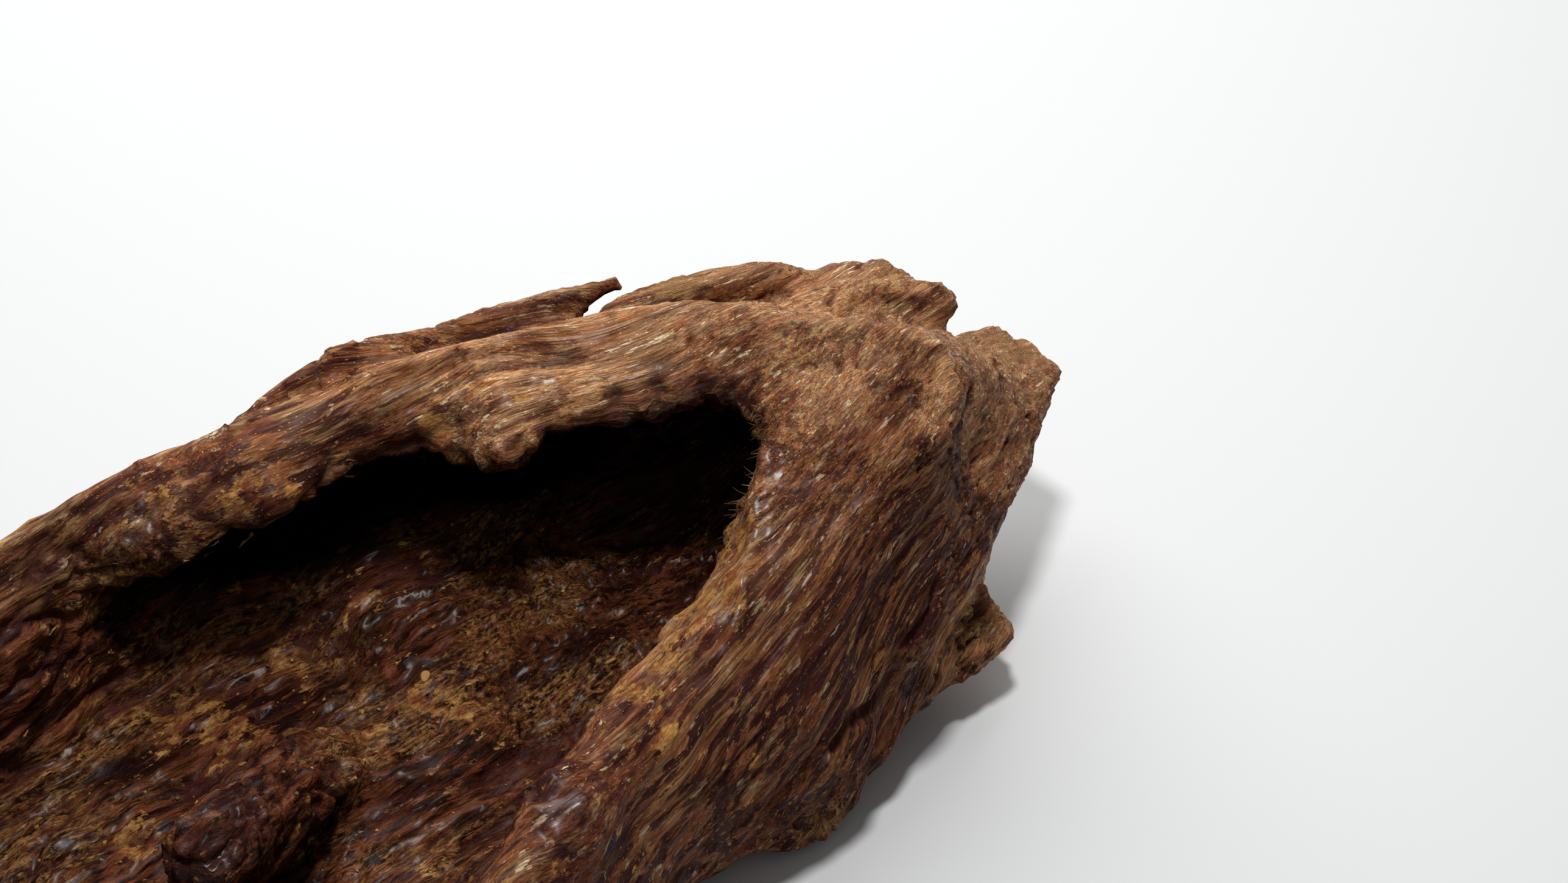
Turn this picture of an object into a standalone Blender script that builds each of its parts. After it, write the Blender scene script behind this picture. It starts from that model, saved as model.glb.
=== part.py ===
"""A piece of agarwood: one solid of resinous wood, hollowed out along its top.

Run with:  blender --background --python part.py
Metres, +Z up. The wood lies along X with its hooded end at +X. The high wall that leans over
the hollow is on the +Y side and the low wall on the -Y side. The origin is under the middle of
the bounding box, on the surface that the wood lies on.
"""

import math

import bmesh
import bpy
import numpy as np
from mathutils import Matrix, Vector, noise

MM = 0.001
NODE = "agarwood_piece"

# The feature lines are in millimetres, as (x, y, z), over the surface that the wood lies on.
# Each runs once round the hollow: along the far wall, over the hooded end, back along the near
# wall and round the open end.
SPINE_OPEN = (-38.0, 1.0)  # x, y where the floor line of the hollow starts at the open end
SPINE_HOOD = (24.0, -1.5)  # x, y where it ends under the hood
FOOT = (
    (-38, 9, 1.8), (-22, 10, 1.2), (-6, 9.5, 1.4), (10, 8.5, 1.2), (24, 7, 1.6), (34, 3, 2.6),
    (43, -2, 4.2), (40, -8, 1.8), (33, -10, 1.0), (24, -10.2, 1.0), (8, -10, 1.2),
    (-8, -9.5, 1.4), (-24, -9, 1.4), (-38, -7, 1.8), (-46, 1, 2.6),
)
FLANK = (
    (-38, 13.5, 5.5), (-22, 15, 5.0), (-6, 16.2, 6.0), (10, 16.0, 6.5), (24, 12.0, 6.5),
    (36, 8, 7.0), (45, 3, 7.5), (49.5, -2, 7.0), (48.2, -6.6, 6.2), (43.5, -9.4, 4.6),
    (36, -12.2, 4.2), (24, -13.2, 4.2), (10, -14.6, 4.4), (-8, -14.9, 5.0), (-24, -13.5, 5.5),
    (-38, -11, 6.0), (-49, 0.5, 5.5),
)
SHOULDER = (
    (-38, 14, 9.5), (-22, 16, 10.5), (-6, 16.6, 11.6), (10, 16.3, 12.2), (24, 12.4, 13.3),
    (34, 8.2, 12.6), (42, 4, 11.6), (48, 0.0, 10.6), (50.6, -3.6, 9.6), (48.6, -7.4, 8.7),
    (43.8, -9.7, 8.8), (38, -11.4, 8.8), (24, -12.2, 8.6), (10, -14.0, 8.5), (-8, -14.4, 8.5),
    (-24, -13.2, 8.5), (-38, -11, 8.0), (-50, 1, 6.6),
)
RIDGE = (
    (-38, 12.5, 12.0), (-22, 14.4, 14.0), (-6, 14.8, 15.4), (8, 14.3, 16.2), (16, 12.9, 17.4),
    (22.6, 10.6, 18.3), (26.9, 8.1, 18.9), (30.3, 6.2, 19.0), (35.9, 2.2, 19.2),
    (38.4, -1, 18.8), (42.3, -7.1, 18.0), (40.7, -9.1, 16.6), (36.7, -10.4, 13.8),
    (31, -10.2, 12.2), (24, -10.6, 11.7), (10, -12.8, 11.6), (-8, -13.2, 11.5),
    (-24, -12, 10.5), (-38, -10, 9.0), (-49.5, 1, 7.6),
)
LIP = (
    (-38, 9.6, 11.0), (-22, 11.4, 12.8), (-6, 12.6, 13.8), (4, 13.2, 14.5), (7.4, 13.2, 14.7),
    (10, 12.0, 14.2),
    (12.9, 10.4, 14.2), (16.1, 8.8, 14.7), (22, 7.3, 15.6), (24.2, 4.9, 15.4),
    (27.6, 3.4, 15.8), (32.1, 0.5, 16.2), (34.3, -2.7, 15.4), (33.3, -4.2, 14.0),
    (30.6, -4.7, 12.6), (27.9, -5.8, 12.0), (23, -7.1, 11.6), (16.1, -9.9, 11.6),
    (9, -11.2, 11.5), (-8, -11.6, 11.2), (-24, -10.4, 10), (-38, -8, 8.4), (-48.5, 1, 7.2),
)
UNDERCUT = (
    (-38, 8.8, 8.6), (-22, 10.6, 9.4), (-6, 10.6, 10.2), (4.5, 11.4, 11.2), (12, 13.6, 10.8),
    (18, 11.6, 11.3), (26, 8.6, 12.0), (34, 4.6, 12.4), (40, -2.0, 12.0), (38, -6.8, 10.4),
    (32, -7.4, 9.6), (24, -8.2, 9.2), (9, -11.2, 9.0), (-8, -11.4, 8.8), (-24, -10, 8.0),
    (-38, -7.6, 7.2), (-47.5, 1, 7.0),
)
FLOOR_EDGE = (
    (-38, 6.4, 6.2), (-22, 7.8, 6.4), (-6, 8.4, 6.8), (4, 9.4, 7.2), (12, 11.0, 7.2), (24, 7, 7.4),
    (34, 1.5, 7.6), (36.5, -3, 7.4), (32, -5.4, 6.8), (24, -6.0, 6.6), (9, -8.4, 6.4),
    (-8, -8.4, 6.2), (-24, -7.4, 6.2), (-38, -5, 6.4), (-46, 1, 6.8),
)
KEEL = ((-38, 0.8), (-14, -0.3), (10, -0.3), (24, 0.2))  # x, z along the underside
FLOOR = ((-38, 6.3), (-22, 5.4), (-6, 5.0), (8, 5.8), (16, 7.2), (24, 6.8))  # x, z in the hollow

# Mesh density: columns along each wall, round the hood and round the open end, and rows
# between one feature line and the next.
WALL_COLUMNS, HOOD_COLUMNS, OPEN_COLUMNS = 31, 40, 15
ROWS = (5, 4, 4, 5, 5, 5, 5, 6)
RIDGE_ROW = 4  # where the ridge is among the feature lines, from the underside up
CREASE = 0.7  # how sharp the ridge is: 0 is rounded and 1 is an edge

# Tongues of wood that stand out of the body: the roll of the width from level, in degrees, and
# points from its root inside the wood, as (x, y, z, half width, half thickness).
TONGUES = {
    "hood_tip": (0, ((41, -3, 7.0, 2.4, 1.8), (45.5, -3.2, 8.2, 4.4, 2.4), (50, -3.3, 9.0, 3.5, 1.7),
                     (52.6, -3.2, 9.2, 2.3, 0.8))),
    "low_tip": (-8, ((28, -7.0, 3.2, 1.4, 1.2), (35, -8.7, 3.2, 3.0, 1.9),
                     (40.5, -9.7, 3.5, 2.7, 1.7), (42.8, -10.4, 3.8, 2.0, 1.2))),
    "crest_start": (80, ((32, 7.2, 12.2, 1.0, 0.8), (36.5, 7.8, 13.1, 2.3, 1.4),
                         (40, 6.4, 13.9, 2.3, 1.2), (42.2, 5.2, 14.1, 2.1, 1.1),
                         (44.0, 4.2, 13.3, 1.3, 0.8))),
    "crest_end": (78, ((39, 3.4, 9.6, 1.2, 0.9), (44, 3.5, 11.0, 2.6, 1.5),
                       (47.0, 2.3, 12.0, 2.2, 1.1), (48.7, 1.2, 11.2, 1.3, 0.7))),
    "horn": (70, ((36, 1.0, 14.6, 1.2, 1.0), (42, 1.2, 13.2, 2.6, 1.8), (46.5, 0.3, 12.4, 1.9, 1.4),
                  (49.4, -0.9, 13.2, 1.1, 0.9))),
    "splinter": (82, ((14, 13.4, 13.8, 1.0, 0.6), (18.5, 13.3, 15.0, 1.6, 0.8),
                      (23, 12.6, 15.6, 1.9, 0.9), (28.5, 10.9, 15.1, 1.7, 0.9),
                      (32.5, 8.9, 16.1, 1.2, 0.65), (36.0, 7.3, 16.9, 0.45, 0.35))),
    "knob": (0, ((16.0, 2.4, 4.4, 1.2, 0.9), (11.5, 1.4, 6.6, 1.9, 1.8), (7.0, -0.4, 8.6, 2.2, 2.1),
                 (3.6, -1.8, 10.2, 2.1, 1.9), (1.6, -2.6, 10.9, 1.3, 1.1))),
    "foot_flake": (0, ((24, -10.4, 2.2, 0.9, 0.5), (28, -11.5, 1.6, 1.4, 0.7),
                       (31.2, -12.0, 1.6, 0.5, 0.35))),
    "open_far": (60, ((-35, 12.4, 8.4, 1.2, 0.8), (-41, 12.0, 8.0, 2.9, 1.3),
                      (-46, 10.8, 7.5, 2.2, 1.1), (-50.4, 9.3, 7.0, 0.8, 0.5))),
    "open_middle": (0, ((-38, 3.0, 3.6, 2.0, 1.2), (-44, 3.4, 4.4, 4.6, 1.7),
                        (-49, 3.0, 4.9, 3.4, 1.3), (-53.2, 2.2, 5.3, 1.2, 0.6))),
    "open_near": (-30, ((-35, -9.8, 5.6, 1.0, 0.8), (-41, -8.8, 5.6, 2.4, 1.4),
                        (-47, -7.0, 5.6, 2.0, 1.1), (-51.4, -5.2, 5.5, 0.8, 0.5))),
}
TONGUE_SIDES = 12
TONGUE_STEPS = 3  # rings from one point of a tongue to the next

# Lumps and dents: where they are, as (x, y, z), how far they spread and how high they stand.
LUMPS = (
    (14.8, -11.2, 12.0, 2.2, 1.0), (6.0, -12.2, 11.6, 2.6, -0.4), (20.5, -9.0, 11.8, 2.0, 0.5),
    (11.5, 11.4, 14.6, 1.8, 0.6), (16.5, 9.0, 15.2, 1.6, 0.5), (24.0, 5.6, 16.4, 2.2, -0.4),
    (29.5, 2.4, 16.4, 2.2, 0.3), (20.0, 7.6, 15.6, 1.4, -0.5), (34.0, -8.0, 12.6, 3.0, 0.7),
    (30.0, -12.0, 7.5, 3.6, 0.9), (20.0, -13.2, 6.0, 4.0, -0.8), (43.0, -8.6, 12.5, 2.6, -0.9),
    (45.0, -8.4, 6.4, 2.4, -1.5), (22.0, 4.0, 7.6, 3.2, 0.9), (14.0, 7.6, 7.0, 3.0, -0.8),
    (21.0, -2.6, 7.2, 2.6, -0.7), (2.0, 6.0, 6.0, 3.6, 0.9), (-6.0, -3.0, 5.4, 5.0, 1.3),
    (-14.0, 6.0, 6.0, 4.5, -0.9), (-20.0, 0.0, 6.0, 4.0, 1.1), (-30.0, -4.0, 6.2, 4.0, -0.8),
    (-28.0, 12.5, 13.0, 3.2, -1.6), (-20.0, -12.2, 10.6, 3.0, -1.5), (-34.0, -9.8, 9.4, 3.0, 1.0),
    (-41.0, 10.0, 10.5, 2.6, -1.2), (-12.0, -14.6, 6.0, 5.0, 1.4), (-30.0, -12.0, 5.0, 4.5, -1.3),
    (-4.0, 15.8, 8.0, 5.5, -1.4), (-24.0, 15.4, 7.0, 5.0, 1.4), (8.0, 15.2, 5.5, 4.0, 1.2),
    (34.0, 9.4, 7.0, 3.5, -1.1), (-14.0, 13.8, 15.0, 3.4, 0.9), (-46.0, -4.0, 7.4, 3.0, -1.2),
    (32.6, -5.0, 14.0, 1.2, 0.4), (31.0, -6.0, 12.8, 1.3, 0.5), (28.6, -7.4, 12.2, 1.3, 0.5),
    (26.0, -8.4, 12.0, 1.3, 0.45), (40.6, -10.2, 5.6, 1.5, -1.1), (38.2, -11.6, 5.4, 1.5, -1.1),
    (35.4, -12.4, 5.8, 1.5, -1.0), (32.6, -12.6, 6.2, 1.6, -0.9), (36.6, -12.0, 8.0, 2.0, 0.6),
)

# The grain runs along X and draws in towards this point under the hood's corner.
GRAIN_APEX = (47.0, -5.0, 18.0)
GRAIN_DRAWS_IN = (16.0, 44.0)  # x from where to where it draws in
GRAIN_DRAWN = 0.4  # how close the grain lies where it is drawn in, as a share
# Furrows along the grain: their length and width in millimetres, and how deep they are.
FURROWS = ((34.0, 9.0, 0.8), (17.0, 4.2, 0.55), (9.0, 2.4, 0.4))
WORN_FLAT_BELOW = 0.35  # the lowest wood, worn flat where it rests
CUTTER = (200, 100, 10)  # what wears it flat, wider than the piece


def turn_of(x, y):
    """Where a point lies round the hollow, and its reach from the spine: 0 to 1 along the far
    wall, to 2 round the hood, to 3 back along the near wall and to 4 round the open end."""
    (x0, y0), (x1, y1) = SPINE_OPEN, SPINE_HOOD
    if x > x1:
        return 1.5 - math.atan2(y - y1, x - x1) / math.pi, math.hypot(x - x1, y - y1)
    if x < x0:
        return 3.5 + math.atan2(y - y0, x0 - x) / math.pi, math.hypot(x - x0, y - y0)
    share = (x - x0) / (x1 - x0)
    side = y - (y0 + (y1 - y0) * share)
    return (share if side > 0 else 3 - share), abs(side)


def place_of(turn, reach):
    """The (x, y) of a point with that turn and reach."""
    (x0, y0), (x1, y1) = SPINE_OPEN, SPINE_HOOD
    turn = turn % 4
    if 1 < turn < 2:
        heading = (1.5 - turn) * math.pi
        return x1 + reach * math.cos(heading), y1 + reach * math.sin(heading)
    if turn > 3:
        heading = (turn - 3.5) * math.pi
        return x0 - reach * math.cos(heading), y0 + reach * math.sin(heading)
    share, side = (turn, reach) if turn <= 1 else (3 - turn, -reach)
    return x0 + (x1 - x0) * share, y0 + (y1 - y0) * share + side


def smooth_through(knots, values, wanted, period=None):
    """A cubic curve through (knots, values), read at the wanted places; closed if it has a period."""
    order = np.argsort(knots)
    knots, values = np.asarray(knots, float)[order], np.asarray(values, float)[order]
    if period:
        knots = np.concatenate([knots[-2:] - period, knots, knots[:2] + period])
        values = np.concatenate([values[-2:], values, values[:2]])
    slopes = np.gradient(values, knots, axis=0)
    start = np.clip(np.searchsorted(knots, wanted, side="right") - 1, 0, len(knots) - 2)
    width = knots[start + 1] - knots[start]
    t = (wanted - knots[start]) / width
    if values.ndim > 1:
        t, width = t[:, None], width[:, None]
    return ((2 * t**3 - 3 * t**2 + 1) * values[start] + (t**3 - 2 * t**2 + t) * width * slopes[start]
            + (3 * t**2 - 2 * t**3) * values[start + 1] + (t**3 - t**2) * width * slopes[start + 1])


def feature_line(points, turns):
    """A closed feature line read at the given turns, as rows of (x, y, z)."""
    turn, reach = zip(*(turn_of(x, y) for x, y, _ in points))
    shape = np.column_stack([reach, [z for _, _, z in points]])
    read = smooth_through(np.array(turn) % 4, shape, turns, period=4)
    return np.array([(*place_of(t, r), z) for t, (r, z) in zip(turns, read)])


def spine_line(points, turns):
    """The underside or the floor of the hollow along the spine, read at the given turns."""
    x, z = zip(*points)
    spine = np.array([place_of(t, 0.0) for t in turns])
    return np.column_stack([spine, smooth_through(x, z, np.clip(spine[:, 0], x[0], x[-1]))])


def body_rows():
    """The body's surface as rows round the hollow, from the underside over the rim to the floor."""
    shares = [np.arange(n) / n for n in (WALL_COLUMNS, HOOD_COLUMNS, WALL_COLUMNS, OPEN_COLUMNS)]
    turns = np.concatenate([side + share for side, share in enumerate(shares)])
    lines = [feature_line(points, turns)
             for points in (FOOT, FLANK, SHOULDER, RIDGE, LIP, UNDERCUT, FLOOR_EDGE)]
    lines = [spine_line(KEEL, turns), *lines, spine_line(FLOOR, turns)]
    rows = []
    for column in np.stack(lines, axis=1):
        steps = np.linalg.norm(np.diff(column, axis=0), axis=1) ** 0.5
        knots = np.concatenate([[0], np.cumsum(steps)])
        wanted = [np.linspace(a, b, n, endpoint=False) for a, b, n in zip(knots, knots[1:], ROWS)]
        wanted = np.concatenate([*wanted, knots[-1:]])
        rounded = smooth_through(knots, column, wanted)
        below, above = slice(RIDGE_ROW + 1), slice(RIDGE_ROW, None)
        up_to_ridge = wanted <= knots[RIDGE_ROW]
        edged = np.concatenate([
            smooth_through(knots[below], column[below], wanted[up_to_ridge]),
            smooth_through(knots[above], column[above], wanted[~up_to_ridge]),
        ])
        rows.append(rounded + (edged - rounded) * CREASE)
    return np.stack(rows, axis=1)


def skinned(name, rows, caps=False):
    """A mesh object over closed rows of points, with its coincident points welded."""
    bm = bmesh.new()
    rings = [[bm.verts.new(Vector(p) * MM) for p in row] for row in rows]
    for lower, upper in zip(rings, rings[1:]):
        for i, corner in enumerate(lower):
            j = (i + 1) % len(lower)
            bm.faces.new((corner, upper[i], upper[j], lower[j]))
    if caps:
        bm.faces.new(rings[0])
        bm.faces.new(rings[-1][::-1])
    bmesh.ops.remove_doubles(bm, verts=bm.verts, dist=0.02 * MM)
    bmesh.ops.dissolve_degenerate(bm, edges=bm.edges, dist=0.01 * MM)
    bmesh.ops.recalc_face_normals(bm, faces=bm.faces)
    mesh = bpy.data.meshes.new(name)
    bm.to_mesh(mesh)
    bm.free()
    return bpy.data.objects.new(name, mesh)


def tongue(name, roll, points):
    """A tapering tongue of wood with rounded sections that follow its points."""
    points = np.array(points, float)
    knots = np.arange(len(points))
    path = smooth_through(knots, points, np.linspace(0, knots[-1], TONGUE_STEPS * knots[-1] + 1))
    angles = np.arange(TONGUE_SIDES) * 2 * math.pi / TONGUE_SIDES
    rows = []
    for (x, y, z, width, thickness), along in zip(path, np.gradient(path[:, :3], axis=0)):
        along = Vector(along).normalized()
        side = Vector((0, 0, 1)).cross(along).normalized()
        side.rotate(Matrix.Rotation(math.radians(roll), 3, along))
        up = along.cross(side)
        rows.append([Vector((x, y, z)) + side * (width * math.cos(a)) + up * (thickness * math.sin(a))
                     for a in angles])
    return skinned(name, rows, caps=True)


def along_grain(place):
    """A point's place along and across the grain, in millimetres."""
    start, end = GRAIN_DRAWS_IN
    share = min(max((place.x - start) / (end - start), 0), 1)
    drawn = 1 + (GRAIN_DRAWN - 1) * share * share * (3 - 2 * share)
    return place.x, (place.y - GRAIN_APEX[1]) / drawn, (place.z - GRAIN_APEX[2]) / drawn


def roughened(obj):
    """Raises and sinks the surface in its lumps and dents and in furrows that follow the grain."""
    bm = bmesh.new()
    bm.from_mesh(obj.data)
    bmesh.ops.triangulate(bm, faces=bm.faces)
    bm.normal_update()
    for vert, normal in [(vert, vert.normal.copy()) for vert in bm.verts]:
        place = vert.co / MM
        height = sum(high * math.exp(-((place - Vector((x, y, z))).length / spread) ** 2)
                     for x, y, z, spread, high in LUMPS)
        along, across, up = along_grain(place)
        for length, width, depth in FURROWS:
            height += depth * noise.noise(Vector((along / length, across / width, up / width)))
        vert.co += normal * (height * MM)
    bm.to_mesh(obj.data)
    bm.free()


def united(body, parts):
    """The body with the parts joined to it in one solid."""
    collection = bpy.data.collections.new("joined_to_" + body.name)
    bpy.context.scene.collection.children.link(collection)
    for part in parts:
        collection.objects.link(part)
    union = body.modifiers.new("join", "BOOLEAN")
    union.operation = "UNION"
    union.operand_type = "COLLECTION"
    union.collection = collection
    apply_modifiers(body)
    for part in parts:
        bpy.data.objects.remove(part)
    bpy.data.collections.remove(collection)


def apply_modifiers(obj):
    graph = bpy.context.evaluated_depsgraph_get()
    mesh = bpy.data.meshes.new_from_object(obj.evaluated_get(graph))
    obj.modifiers.clear()
    obj.data = mesh


def wear_flat(obj):
    """Cuts the lowest wood off level, where the piece rests."""
    bpy.ops.mesh.primitive_cube_add(size=1)
    cutter = bpy.context.object
    cutter.scale = Vector(CUTTER) * MM
    cutter.location.z = WORN_FLAT_BELOW * MM - cutter.scale.z / 2
    cut = obj.modifiers.new("wear_flat", "BOOLEAN")
    cut.operation = "DIFFERENCE"
    cut.object = cutter
    apply_modifiers(obj)
    bpy.data.objects.remove(cutter)


def set_on_origin(obj):
    """Moves the mesh so that the origin is under the middle of its bounding box."""
    corners = np.array(obj.bound_box)
    middle = (corners.min(axis=0) + corners.max(axis=0)) / 2
    obj.data.transform(Matrix.Translation((-middle[0], -middle[1], -corners[:, 2].min())))


def wood():
    material = bpy.data.materials.new("agarwood")
    material.use_nodes = True
    shader = material.node_tree.nodes["Principled BSDF"]
    shader.inputs["Base Color"].default_value = (0.16, 0.065, 0.028, 1)
    shader.inputs["Roughness"].default_value = 0.45
    shader.inputs["Metallic"].default_value = 0.0
    return material


def main():
    for obj in list(bpy.data.objects):
        bpy.data.objects.remove(obj)
    collection = bpy.data.collections.new("agarwood")
    bpy.context.scene.collection.children.link(collection)
    body = skinned(NODE, body_rows())
    collection.objects.link(body)
    united(body, [tongue(name, roll, points) for name, (roll, points) in TONGUES.items()])
    roughened(body)
    wear_flat(body)
    set_on_origin(body)
    body.data.materials.clear()
    body.data.materials.append(wood())


main()
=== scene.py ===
"""The look of a piece of agarwood: torn, streaked, resinous wood lying on a pale surface.

The fine piece starts from the frame's solid. Its surface is remade evenly, made finer where the
photograph shows it, and raised and sunk along the grain. The material reads the grain from the
mesh, so that streaks, fibres and relief all run the same way.
"""

import math
import random

import bmesh
import bpy
import numpy as np
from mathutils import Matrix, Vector, noise
from mathutils.bvhtree import BVHTree

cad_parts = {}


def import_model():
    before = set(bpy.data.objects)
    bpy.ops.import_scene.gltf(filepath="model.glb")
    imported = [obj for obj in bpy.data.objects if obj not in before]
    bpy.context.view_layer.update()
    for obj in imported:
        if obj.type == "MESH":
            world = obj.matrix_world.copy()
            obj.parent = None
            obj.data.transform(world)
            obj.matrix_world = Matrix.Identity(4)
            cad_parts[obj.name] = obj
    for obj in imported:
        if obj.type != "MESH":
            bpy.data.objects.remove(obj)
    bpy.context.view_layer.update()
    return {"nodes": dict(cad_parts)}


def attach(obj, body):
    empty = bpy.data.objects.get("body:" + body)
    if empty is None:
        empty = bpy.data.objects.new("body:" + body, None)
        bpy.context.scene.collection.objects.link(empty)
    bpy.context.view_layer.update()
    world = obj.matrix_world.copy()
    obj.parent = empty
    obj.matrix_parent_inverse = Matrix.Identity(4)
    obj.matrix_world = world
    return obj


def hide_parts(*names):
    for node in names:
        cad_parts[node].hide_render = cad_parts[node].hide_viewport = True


MM = 0.001
NODE = "agarwood_piece"

# The photograph's view: lengths in millimetres, angles in degrees.
VIEW_AZIMUTH, VIEW_ELEVATION = -45.0, 42.0
VIEW_TARGET = Vector((35.32, -4.61, 14.65))
VIEW_DISTANCE = 200.0
FIELD_WIDTH = 70.0
SENSOR_WIDTH = 36.0
CLIP_START = 10.0

# The surroundings: a plain pale floor, in metres, and a soft room with two round lamps, each as
# (name, place, what it points at, size, watts) in millimetres.
FLOOR_SIZE, FLOOR_COLOUR, FLOOR_ROUGHNESS = 2.0, (0.86, 0.87, 0.87), 0.7
ROOM_COLOUR, ROOM_STRENGTH = (0.97, 0.98, 1.0), 0.14
LAMPS = (
    ("overhead", (34, -8, 165), (33, -5, 0), 25, 0.135),
    ("window", (115, 115, 120), (40, 0, 0), 220, 0.285),
)

# The grain runs along X and draws in towards a point under the hood's corner.
GRAIN_APEX = Vector((47.32, -5.61, 17.65))
GRAIN_DRAWS_IN = (16.0, 44.0)  # x from where to where it draws in
GRAIN_DRAWN = 0.4  # how close the grain lies where it is drawn in, as a share

# The middle of the hollow from the open end to the hood, as (x, y, z) in millimetres, and how far
# the hollow's wood reaches from it.
HOLLOW_AXIS = ((-46, 0.5, 11), (-10, 0, 11.5), (16, -0.5, 11.5), (30, -1, 11), (37.5, -1.5, 11))
HOLLOW_REACH = (6.0, 7.6)
HOLLOW_FACING = (-0.05, 0.5)  # how much a surface faces the middle, from where to where it counts
RIM_FAR, RIM_NEAR = 13.8, 11.2  # how high the hollow's wood reaches on the far and near walls
RIM_RISES = (-8, -4)  # y from where to where the rim rises from the near height to the far one
RIM_EDGE = (-1.0, 0.4)  # heights from the rim over which the hollow's wood ends
RIM_FACES_UP = (-0.5, 0.1)  # only a rim that faces up this far ends it
HOLLOW_FROM = 0.2  # wood that belongs to the hollow less than this isn't looked at for lost light
# Light is lost deep in the hollow: the rays that look for a way out, and how far they look.
DEEP_RAYS, DEEP_REACH, DEEP_SEED = 24, 25.0, 4
JUST_OVER, JUST_UNDER = 0.1, 0.05  # how far off the surface a ray starts

# The surface: the size of its faces, and where they are halved, in millimetres.
FACE_SIZE = 0.5
FINE_FROM_X = -9.0
SMOOTHING, SMOOTHING_ROUNDS = 0.5, 4
TURNED_AWAY = -0.1  # faces that look further away from the camera than this aren't halved
THIN_WOOD = (0.4, 2.4)  # thinner wood than this has no relief, and thicker wood has all of it

# Relief along the grain: length and width of its waves in millimetres, how high they are on the
# outside, and how high their sharp crests are in the hollow.
WAVES = (
    ((9.0, 2.2), 0.15, 0.70),
    ((5.0, 1.1), 0.14, 0.45),
    ((2.6, 0.55), 0.10, 0.28),
)
HOLLOW_CREST = 0.25  # the height of the crests in the hollow, as a share of a wave
# Grooves in the same way, how sharp they are, and how far they lie from the waves' noise.
GROOVES = ((13.0, 1.9), 0.24, 0.45)
GROOVE_SHARPNESS, GROOVE_SHIFT = 7, 40
# Chips of the broken edges: their length, width and height in millimetres.
CHIP_LENGTH, CHIP_WIDTH, CHIP_HEIGHT = 2.2, 0.9, 0.55
CHIP_STEEPNESS, CHIP_SUNK = 2.5, 0.6
HOLLOW_CHIPPED = 0.4  # how chipped the hollow's wood is, as a share
# How far the grain sways from its even run, and over what lengths, in millimetres.
SWAYS = ((1.3, 11.0), (0.8, 5.0))
NOISE_SEED = 3  # noise_vector gives other shapes in each run without it

# A spot's edge goes from nothing to all between two strengths, and is ragged by noise, as (how far,
# how often in a millimetre).
CRISP, EVEN, SOFT = (0.3, 0.8), (0.2, 0.8), (0.1, 0.9)
RAGGED = ((1.1, 0.45), (0.9, 1.4))

# What is kept on the mesh for the material, beside the grain.
MASKS = ("inner", "torn", "height", "pale", "open", "painted_light", "glossy", "ochre")

# Where the wood is broken and crumbly, as ((x, y, z), how far it spreads) in millimetres.
TORN = (
    ((8.0, 12.8, 12.6), 2.6), ((12.5, 11.3, 13.2), 2.4), ((16.0, 9.0, 13.8), 2.0),
    ((20.5, 8.0, 14.4), 1.6), ((3.0, 13.0, 12.0), 2.4), ((35.2, -3.6, 14.0), 1.0),
    ((34.2, -5.0, 12.4), 1.0), ((40.5, -10.8, 4.2), 2.2), ((29.0, -13.0, 2.0), 2.0),
    ((-28.0, 11.0, 12.6), 3.0), ((-20.0, -12.2, 10.4), 2.6), ((-46.0, -4.0, 7.0), 3.0),
    ((-45.0, 6.0, 7.5), 3.0),
)
# Where the wood is worn pale, in the same way.
PALE = (
    ((31.0, -6.0, 13.2), 1.3), ((29.4, -6.9, 12.5), 1.4), ((27.6, -8.0, 12.2), 1.4),
    ((26.0, -7.4, 11.8), 1.4), ((24.1, -8.1, 11.7), 1.3), ((21.9, -8.8, 11.9), 1.2),
    ((8.0, 13.6, 15.6), 2.0), ((50.5, -3.0, 9.6), 2.4), ((47.0, 2.0, 12.0), 2.2),
    ((40.0, 6.5, 14.5), 2.0),
)
# Where the wood is ochre and soft, in the same way.
OCHRE_SPOTS = (
    ((12.7, 11.0, 15.5), 1.1), ((15.4, 9.1, 15.4), 0.9), ((17.1, 8.6, 15.6), 1.1),
    ((21.6, 7.9, 15.6), 0.8), ((24.2, 6.1, 15.7), 1.0), ((12.7, 9.3, 14.3), 0.9),
    ((20.2, 7.0, 7.2), 0.9), ((16.2, 7.7, 6.1), 1.0), ((15.3, 5.7, 5.9), 0.9),
    ((17.9, 0.6, 7.3), 1.0), ((14.6, 0.1, 7.2), 0.8), ((19.7, -4.3, 5.7), 0.8),
    ((18.3, -1.2, 7.1), 1.0), ((11.2, 5.1, 5.9), 1.6), ((10.2, 8.1, 6.0), 1.5),
    ((4.0, 4.0, 5.6), 1.4), ((-6.0, 3.0, 5.6), 1.4), ((31.0, -6.0, 13.2), 1.3),
    ((29.4, -6.9, 12.5), 1.4), ((27.6, -8.0, 12.2), 1.4), ((26.0, -7.4, 11.8), 1.4),
    ((24.1, -8.1, 11.7), 1.3), ((21.9, -8.8, 11.9), 1.3), ((21.5, -11.5, 11.2), 1.2),
)

# Where the wood is dark with resin, in the same way.
RESINOUS = (
    ((15.0, -12.0, 11.8), 3.0), ((20.5, -10.5, 11.6), 2.6), ((9.0, -13.0, 11.0), 3.0),
    ((30.0, -13.0, 8.0), 4.0), ((24.0, -14.0, 7.0), 4.5), ((36.0, -12.0, 9.0), 3.0),
    ((9.0, 11.8, 15.0), 2.6), ((15.0, 8.8, 15.0), 2.6), ((20.0, 7.6, 15.0), 2.0),
    ((25.8, -10.4, 11.6), 2.4), ((26.6, -7.4, 11.6), 2.0),
)
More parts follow.
